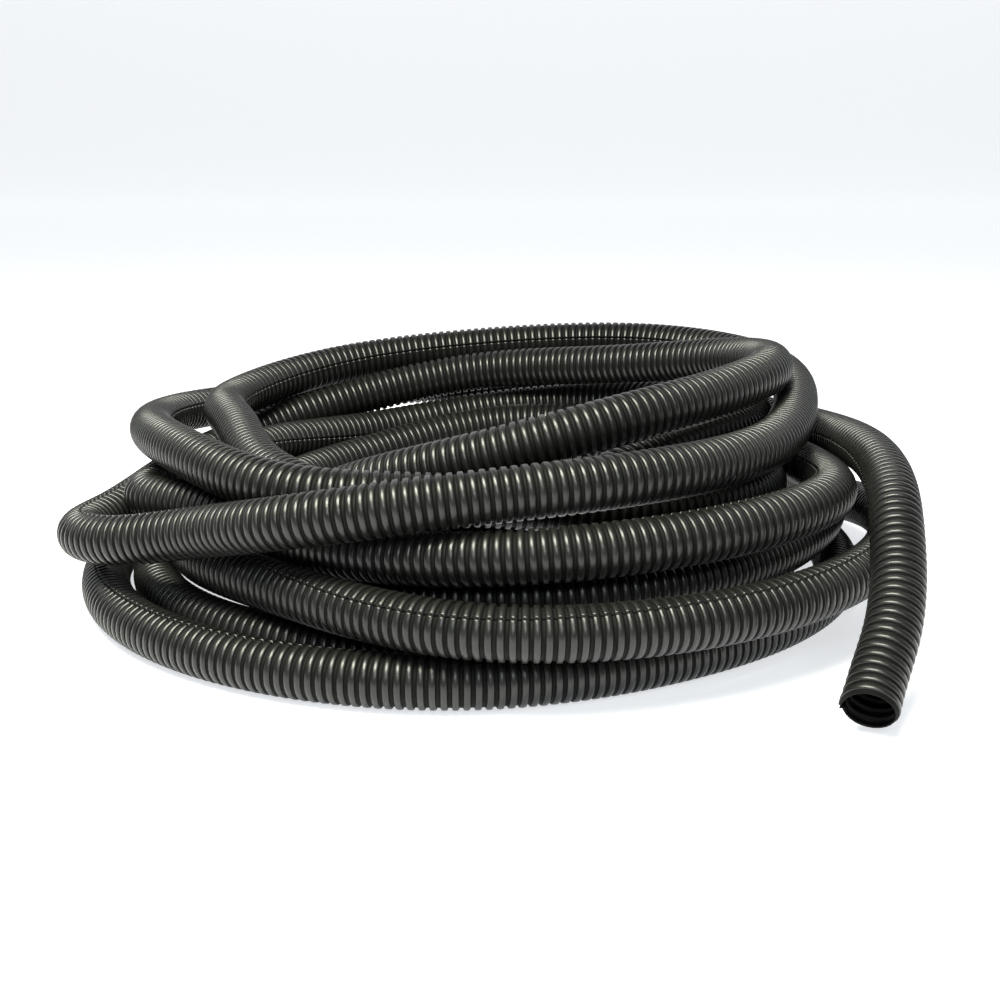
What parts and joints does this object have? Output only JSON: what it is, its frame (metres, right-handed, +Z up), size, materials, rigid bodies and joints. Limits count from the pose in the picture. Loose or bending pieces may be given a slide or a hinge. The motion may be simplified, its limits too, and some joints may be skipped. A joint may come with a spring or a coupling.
{
  "type": "pool vacuum hose",
  "caption": "Corrugated black plastic vacuum hose wound by hand into a loose coil that lies flat on the floor, with its bare cut end brought out in front.",
  "frame": {"origin": "on the floor, under the middle of the coil's own box", "axes": "+Z up from the floor, -Y towards the side where the open end comes out, +X to the right as seen from that side"},
  "size_m": [0.6918, 0.7393, 0.1941],
  "materials": {
    "hose": "satin",
    "cut_end": "satin"
  },
  "bodies": {
    "root": {"inner_end": "cut_end", "turn_1_front_right": "hose", "turn_1_front": "hose", "turn_1_front_left": "hose", "turn_1_back_left": "hose", "turn_1_back": "hose", "turn_1_back_right": "hose", "turn_2_front_right": "hose", "turn_2_front": "hose", "turn_2_front_left": "hose", "turn_2_back_left": "hose", "turn_2_back": "hose", "turn_2_back_right": "hose", "turn_3_front_right": "hose", "turn_3_front": "hose", "turn_3_front_left": "hose", "turn_3_back_left": "hose", "turn_3_back": "hose", "turn_3_back_right": "hose", "turn_4_front_right": "hose", "turn_4_front": "hose", "turn_4_front_left": "hose", "turn_4_back_left": "hose", "turn_4_back": "hose", "turn_4_back_right": "hose", "turn_5_front_right": "hose", "turn_5_front": "hose", "turn_5_front_left": "hose", "turn_5_back_left": "hose", "turn_5_back": "hose", "turn_5_back_right": "hose", "turn_6_front_right": "hose", "turn_6_front": "hose", "turn_6_front_left": "hose", "turn_6_back_left": "hose", "turn_6_back": "hose", "turn_6_back_right": "hose", "turn_7_front_right": "hose", "turn_7_front": "hose", "turn_7_front_left": "hose", "turn_7_back_left": "hose", "turn_7_back": "hose", "turn_7_back_right": "hose", "turn_8_front_right": "hose", "turn_8_front": "hose", "turn_8_front_left": "hose", "turn_8_back_left": "hose", "turn_8_back": "hose", "turn_8_back_right": "hose", "turn_9_front_right": "hose", "turn_9_front": "hose", "turn_9_front_left": "hose", "turn_9_back_left": "hose", "turn_9_back": "hose", "turn_9_back_right": "hose", "turn_10_front_right": "hose", "mouth_end": "cut_end"}
  },
  "joints": []
}
